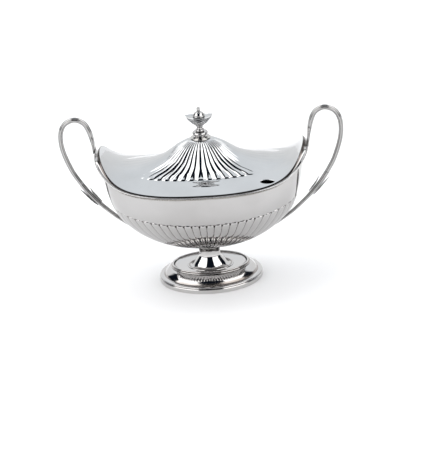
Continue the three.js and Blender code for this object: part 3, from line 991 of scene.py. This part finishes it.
def finial():
    """The urn finial from the lid up: plate, drum, ring, shaft, cup, cover and button."""
    low, high = node_box("finial_collar")
    outline = np.concatenate(
        [
            [(15, low[2])],
            arc((14.2, low[2] + 0.6), (0.8, 0.6), -30, 90, 6),
            [(12.6, low[2] + 1.0), (12.2, high[2])],
        ]
    )
    turned("finial_plate", outline, "finial_collar", SHADED)

    low, high = node_box("finial_base")
    outline = np.concatenate(
        [
            [(10.4, low[2]), (10.4, low[2] + 0.7), (9.7, low[2] + 1.0)],
            arc((11.4, low[2] + 2.4), (2.0, 1.4), 200, 150, 5),
            [(10.2, low[2] + 3.5)],
            arc((9.6, high[2] - 2.3), (2.1, 2.2), -70, 80, 14),
            [(8.6, high[2])],
        ]
    )
    turned("finial_drum", outline, "finial_base", POLISHED)

    low, high = node_box("finial_knop")
    middle = (low[2] + high[2]) / 2
    outline = np.concatenate(
        [[(5.2, low[2])], arc((5.4, middle), (1.5, 1.5), -75, 75, 12), [(5.0, high[2])]]
    )
    turned("finial_ring", outline, "finial_knop", POLISHED)

    low, high = node_box("finial_stem")
    outline = smooth_curve([(4.8, low[2]), (4.3, low[2] + 0.9), (4.3, low[2] + 2), (4.8, high[2])], 12)
    turned("finial_shaft", outline, "finial_stem", POLISHED)

    finial_cup()

    low, high = node_box("finial_cover")
    outline = np.concatenate(
        [
            [(9, low[2]), (9, low[2] + 0.5), (8.6, low[2] + 0.9)],
            arc((0.5, low[2] + 0.9), (8.1, high[2] - low[2] - 0.9), 4, 88, 22),
        ]
    )
    turned("urn_cover", outline, "finial_cover", POLISHED, ratio=0.93, bore=0)

    low, high = node_box("finial_button")
    outline = np.concatenate(
        [
            [(2.8, low[2]), (2.8, low[2] + 0.4), (2.2, low[2] + 0.8)],
            arc((1.5, low[2] + 1.9), (1.1, 1.0), -70, 0, 5),
            arc((1.1, high[2] - 1.4), (1.5, 1.4), 0, 88, 8),
        ]
    )
    turned("urn_button", outline, "finial_button", HANDLE_SILVER, bore=0, columns=48)


def hardware():
    """The bolt, washer and nut inside the lid: thread turns, a chamfered washer and nut."""
    low, high = node_box("finial_bolt")
    pitch, columns = 0.8, 24
    turns = int((high[2] - low[2]) / pitch)
    rows = [np.tile([0, 0, low[2]], (columns, 1)).astype(float)]
    turn = np.arange(columns) / columns * 2 * math.pi
    for z in np.linspace(low[2], high[2], turns * 4 + 1):
        wave = ((z / pitch + turn / (2 * math.pi)) % 1) * 2 - 1
        r = high[0] - 0.35 * np.abs(wave)
        rows.append(np.stack([r * np.cos(turn), r * np.sin(turn), np.full(columns, z)], 1))
    rows.append(np.tile([0, 0, high[2]], (columns, 1)).astype(float))
    obj = make_object("finial_screw", np.array(rows), ring_faces(len(rows), columns))
    add_piece(obj, "lid", ["finial_bolt"], HARDWARE)

    low, high = node_box("finial_washer")
    outline = [(7.6, low[2]), (8, low[2] + 0.3), (8, high[2] - 0.3), (7.6, high[2])]
    turned("finial_thrust_washer", outline, "finial_washer", HARDWARE)

    low, high = node_box("finial_nut")
    columns = 72
    turn = np.arange(columns) / columns * 2 * math.pi + math.pi / 2
    flat = (turn - math.pi / 2 + math.pi / 6) % (math.pi / 3) - math.pi / 6
    hexagon = 5 * math.cos(math.pi / 6) / np.cos(flat)
    chamfer = [(4.6, low[2]), (5.1, low[2] + 0.5), (5.1, high[2] - 0.5), (4.6, high[2])]
    rows = []
    for r_max, z in [(BORE, low[2])] + chamfer + [(BORE, high[2])]:
        r = np.minimum(hexagon, r_max)
        rows.append(np.stack([r * np.cos(turn), r * np.sin(turn), np.full(columns, z)], 1))
    rows = np.array(rows)
    obj = make_object("finial_hex_nut", rows, ring_faces(len(rows), columns, closed_rows=True))
    add_piece(obj, "lid", ["finial_nut"], HARDWARE)


bowl_shell()
rim_moulding()
bead_border()
handles()
foot()
bowl_collar()
lid_shell()
lid_bezel()
finial()
hardware()


# ---------------------------------------------------------------- stage, light and camera
def floor():
    """A wide pale table, a shade warmer towards the camera."""
    material, tree = new_material("pale_floor")
    where = node(tree, "ShaderNodeNewGeometry").outputs["Position"]
    parts = node(tree, "ShaderNodeSeparateXYZ", {0: where})
    back = remap(tree, parts.outputs["Y"], -0.75, -0.1, kind="SMOOTHSTEP")
    tone = blend(tree, back, (0.93, 0.92, 0.925), (0.93, 0.93, 0.935))
    grain = node(tree, "ShaderNodeTexNoise", {"Vector": where}, Scale=5.0)
    uneven = node(tree, "ShaderNodeBump", {"Height": grain.outputs[0]}, Strength=0.02)
    surface(tree, {"Base Color": tone, "Normal": uneven.outputs[0]}, Roughness=0.7)
    size = 30.0 / MM
    corners = [(-size, -size, 0), (size, -size, 0), (size, size, 0), (-size, size, 0)]
    obj = make_object("floor", corners, [[0, 1, 2, 3]])
    obj.data.materials.append(material)


def box_of_light(tree, azimuth, elevation, az_range, el_range, soft):
    """1 inside a rectangle of directions, 0 outside, with soft edges. azimuth and elevation are
    in radians, the ranges and the softness in degrees."""
    product = 1.0
    for value, (low, high) in ((azimuth, az_range), (elevation, el_range)):
        for start, end in ((low - soft, low + soft), (high + soft, high - soft)):
            edge = remap(tree, value, math.radians(start), math.radians(end), kind="SMOOTHSTEP")
            product = maths(tree, "MULTIPLY", product, edge)
    return product


def studio():
    """A pale room behind and above, a dark room on the camera's side, and two soft boxes in it
    that lean apart with height."""
    world = bpy.data.worlds.new("studio")
    bpy.context.scene.world = world
    world.use_nodes = True
    tree = world.node_tree
    tree.nodes.clear()
    coords = node(tree, "ShaderNodeTexCoord")
    parts = node(tree, "ShaderNodeSeparateXYZ", {0: coords.outputs["Generated"]})
    front = maths(tree, "MULTIPLY", parts.outputs["Y"], -1)
    azimuth = maths(tree, "ARCTAN2", parts.outputs["X"], front)
    elevation = maths(tree, "ARCSINE", parts.outputs["Z"])

    dark = box_of_light(tree, azimuth, elevation, (-122, 120), (-12, 90), 4)
    low, high = math.radians(32), math.radians(58)
    spread = remap(tree, elevation, low, high, 1.0, 0.58, kind="SMOOTHSTEP")
    leaning = maths(tree, "MULTIPLY", azimuth, spread)
    left = box_of_light(tree, leaning, elevation, (-86, -25), (9, 67), 1.5)
    right = box_of_light(tree, leaning, elevation, (23, 80), (9, 67), 1.5)
    boxes = maths(tree, "MAXIMUM", left, right)

    height = remap(tree, elevation, math.radians(5), math.radians(50), kind="SMOOTHSTEP")
    walls = blend(tree, height, (0.98, 0.99, 1.0), (1.05, 1.09, 1.13))
    room = blend(tree, dark, walls, (0.006, 0.009, 0.016))
    lit = blend(tree, boxes, room, (2.6, 2.6, 2.6))
    background = node(tree, "ShaderNodeBackground", {"Color": lit}, Strength=1.0)
    node(tree, "ShaderNodeOutputWorld", {"Surface": background.outputs[0]})


def camera():
    """Long lens from a little above the rim, turned and rolled as the object was photographed."""
    turn, drop, roll = math.radians(4.8), math.radians(20.9), math.radians(4.6)
    distance, centre = 3448, Vector((0, 0, 130))
    aside, below = 0.0023, 0.01279
    away = Vector((math.sin(turn) * math.cos(drop), -math.cos(turn) * math.cos(drop), math.sin(drop)))
    level = Vector((math.cos(turn), math.sin(turn), 0))
    upright = level.cross(-away)
    right = math.cos(roll) * level - math.sin(roll) * upright
    up = math.sin(roll) * level + math.cos(roll) * upright
    forward = (right * aside - up * below - away).normalized()
    right = (right - forward * right.dot(forward)).normalized()
    data = bpy.data.cameras.new("camera")
    data.sensor_width = 36
    data.lens = 186.2
    data.clip_end = 100
    obj = bpy.data.objects.new("camera", data)
    facing = Matrix((right, right.cross(forward), -forward)).transposed()
    obj.matrix_world = Matrix.Translation((centre + distance * away) * MM) @ facing.to_4x4()
    bpy.context.scene.collection.objects.link(obj)
    bpy.context.scene.camera = obj


def key_light():
    """A soft light from above, which the silver doesn't mirror."""
    data = bpy.data.lights.new("overhead_softbox", "AREA")
    data.shape = "RECTANGLE"
    data.size, data.size_y = 1.6, 1.2
    data.energy = 9
    obj = bpy.data.objects.new("overhead_softbox", data)
    obj.location = (-0.3, 0.4, 1.7)
    obj.visible_glossy = False
    obj.rotation_euler = Vector((-0.3, 0.4, 1.6)).to_track_quat("Z", "Y").to_euler()
    bpy.context.scene.collection.objects.link(obj)


floor()
studio()
key_light()
camera()
bpy.context.scene.view_settings.view_transform = "Standard"
